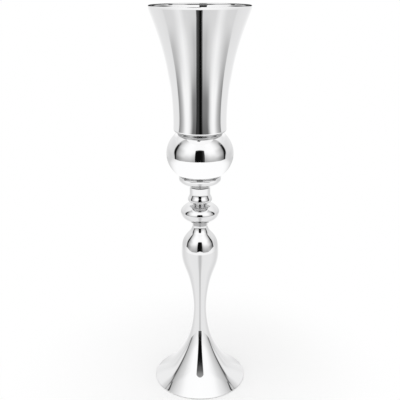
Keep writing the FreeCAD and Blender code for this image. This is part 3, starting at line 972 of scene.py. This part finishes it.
# %% Cone for the upper part of the foot
def foot_paint(wiring, angle, height, distance):
    spread = wiring.value("ABSOLUTE", angle)
    near = wiring.tones(spread, [
        (0, 254), (34, 252), (45, 244), (55, 232), (65, 213), (75, 200), (84, 181), (86, 165),
        (88.5, 60), (90.5, 190), (93, 205), (110, 232), (180, 240),
    ])
    middle = wiring.tones(spread, [
        (0, 243), (30, 241), (45, 232), (65, 213), (77, 198), (85, 176), (88, 130), (90.5, 20),
        (93, 120), (95.5, 228), (101, 236), (180, 240),
    ])
    far = wiring.tones(spread, [
        (0, 240), (30, 236), (45, 226), (60, 219), (70, 208), (78, 172), (84, 150), (87, 120),
        (90, 60), (93, 130), (97, 195), (108, 206), (122, 228), (180, 240),
    ])
    stripes = wiring.blend(wiring.mask(distance, 155, 190), near, middle)
    stripes = wiring.blend(wiring.mask(distance, 250, 400), stripes, far)
    gap = wiring.tones(distance, [
        (146, 5), (160, 9), (190, 20), (250, 34), (300, 50), (375, 62), (485, 76), (750, 94),
    ])
    half = wiring.ramp(distance, [(146, 13.5), (215, 15), (300, 18), (750, 19)])
    narrow = wiring.value("DIVIDE", angle, half)
    return wiring.blend(wiring.within(narrow, -1, 1, 0.06), stripes, gap)


foot_cone = glowing("foot cone", foot_paint, shows="inner")
cone_card("studio_foot_cone", (screen_radius, 1), (146, 99.7), foot_cone)

# %% [markdown]
# All that the flare sees passes through the hole of that cone, so a higher ring waits there. The gap
# ends on it in a soft round tip, and the dark lines run on beside the panels.

# %% Ring for the flare of the foot
def flare_paint(wiring, angle, height, distance):
    spread = wiring.value("ABSOLUTE", angle)
    close = wiring.tones(spread, [
        (0, 254), (39, 253), (49, 250), (57, 241), (63, 232), (68, 226), (76, 212), (80, 202),
        (85, 187), (92, 174),
    ])
    wide = wiring.tones(spread, [
        (0, 254), (39, 252), (49, 246), (57, 235), (63, 225), (68, 215), (76, 203), (82, 194),
        (87, 181), (92, 165),
    ])
    panel = wiring.blend(wiring.mask(distance, 172, 215), close, wide)
    outside = wiring.tones(distance, [(150, 192), (300, 200)])
    line_place = wiring.ramp(distance, [
        (150, 81), (160, 85.5), (172, 88), (187, 90), (205, 91), (300, 91),
    ])
    past_line = wiring.value("SUBTRACT", spread, line_place)
    stripes = wiring.blend(wiring.mask(past_line, 0, 1.5), panel, outside)
    line = wiring.tones(past_line, [(-3, 40), (3, 40)])
    stripes = wiring.blend(wiring.within(past_line, -1.1, 1.1, 0.7), stripes, line)
    gap = wiring.tones(distance, [
        (165, 156), (175, 150), (180, 139), (191, 136), (196, 126), (200, 110), (204, 80),
        (207, 56), (212, 37), (220, 24), (230, 14), (245, 9), (300, 7),
    ])
    lean = wiring.value("MULTIPLY", wiring.value("MULTIPLY", angle, angle), 0.1)
    tip = wiring.mask(wiring.value("SUBTRACT", distance, lean), 167, 173)
    gap_here = wiring.value("MULTIPLY", wiring.within(angle, -13.8, 13.8, 1.4), tip)
    return wiring.blend(gap_here, stripes, gap)


flare_ring = glowing("flare ring", flare_paint, shows="inner")
cone_card("studio_flare_ring", (420, 144.6), (60, 151.8), flare_ring)

# %% [markdown]
# The floor is matt and nearly white. Close to the vase it keeps the faint shadow of the foot. Further
# out it goes over into plain white. Seen in the metal it glows with a painted tone: a painted reflection
# of the soft trace of the gap that a smooth white floor mirrors, and painted shade at the sides.

# %% Floor
def floor_material():
    material = bpy.data.materials.new("floor")
    material.use_nodes = True
    wiring = Wiring(material.node_tree)
    angle, height, distance = round_place(wiring)
    spread = wiring.value("ABSOLUTE", angle)
    matt = wiring.add("ShaderNodeBsdfDiffuse")
    matt.inputs["Color"].default_value = (0.97, 0.97, 0.97, 1)
    white = wiring.add("ShaderNodeEmission")
    far_out = wiring.add("ShaderNodeMixShader")
    wiring.join(wiring.mask(distance, 110, 320), far_out.inputs["Fac"])
    wiring.join(matt.outputs["BSDF"], far_out.inputs[1])
    wiring.join(white.outputs["Emission"], far_out.inputs[2])
    # painted reflection of the gap and painted shade at the sides, glowing for the metal only
    tone = wiring.tones(spread, [
        (0, 187), (4, 190), (8, 203), (13, 222), (18, 229), (70, 230), (90, 224), (104, 218),
        (122, 217), (142, 234), (165, 249), (180, 250),
    ])
    pale = wiring.add("ShaderNodeEmission")
    wiring.join(tone, pale.inputs["Color"])
    ray = wiring.add("ShaderNodeLightPath")
    seen = wiring.add("ShaderNodeMixShader")
    wiring.join(ray.outputs["Is Glossy Ray"], seen.inputs["Fac"])
    wiring.join(far_out.outputs["Shader"], seen.inputs[1])
    wiring.join(pale.outputs["Emission"], seen.inputs[2])
    below = wiring.add("ShaderNodeMixShader")
    wiring.join(wiring.add("ShaderNodeNewGeometry").outputs["Backfacing"], below.inputs["Fac"])
    wiring.join(seen.outputs["Shader"], below.inputs[1])
    wiring.join(wiring.add("ShaderNodeBsdfTransparent").outputs["BSDF"], below.inputs[2])
    out = wiring.add("ShaderNodeOutputMaterial")
    wiring.join(below.outputs["Shader"], out.inputs["Surface"])
    return material


deselect_all()
bpy.ops.mesh.primitive_circle_add(vertices=96, radius=30, fill_type="NGON", location=(0, 0, 0))
floor = bpy.context.object
floor.name = "studio_floor"
floor.data.materials.append(floor_material())

# %% [markdown]
# ## Light
#
# The world is a plain white room, and one large soft lamp hangs high on the left. The camera and the
# reflections see the room at a strength of one, which is white, and it lights the matt pieces a
# little below that.

# %% World and lamp
world = bpy.data.worlds.new("white room")
bpy.context.scene.world = world
world.use_nodes = True
wiring = Wiring(world.node_tree)
ray = wiring.add("ShaderNodeLightPath")
seen_directly = wiring.value(
    "MAXIMUM",
    wiring.value("MAXIMUM", ray.outputs["Is Camera Ray"], ray.outputs["Is Glossy Ray"]),
    ray.outputs["Is Transmission Ray"],
)
soft = wiring.add("ShaderNodeBackground")
soft.inputs["Color"].default_value = (1, 1, 1, 1)
soft.inputs["Strength"].default_value = 0.93
plain = wiring.add("ShaderNodeBackground")
plain.inputs["Color"].default_value = (1, 1, 1, 1)
plain.inputs["Strength"].default_value = 1.0
which = wiring.add("ShaderNodeMixShader")
wiring.join(seen_directly, which.inputs["Fac"])
wiring.join(soft.outputs["Background"], which.inputs[1])
wiring.join(plain.outputs["Background"], which.inputs[2])
out = wiring.add("ShaderNodeOutputWorld")
wiring.join(which.outputs["Shader"], out.inputs["Surface"])

deselect_all()
bpy.ops.object.light_add(type="AREA", location=(-0.5, -0.6, 1.7))
lamp = bpy.context.object
lamp.name = "soft_lamp"
lamp.data.shape = "SQUARE"
lamp.data.size = 1.4
lamp.data.energy = 4.0
lamp.rotation_euler = (math.radians(22), math.radians(-16), 0)
lamp.visible_glossy = False

# %% [markdown]
# ## The camera
#
# The camera stands a little above the mouth and looks down by 19 degrees. Its place, its tilt and
# its lens were fitted to the outline of the vase in the photo.

# %% Camera
view_scene = bpy.context.scene
deselect_all()
bpy.ops.object.camera_add(location=(0, -0.8822, 0.5943), rotation=(math.radians(90 - 19.026), 0, 0))
camera = bpy.context.object
camera.name = "photo_camera"
camera.data.lens = 58.18
camera.data.sensor_width = 36
camera.data.clip_start = 0.01
view_scene.camera = camera
view_scene.view_settings.view_transform = "Standard"
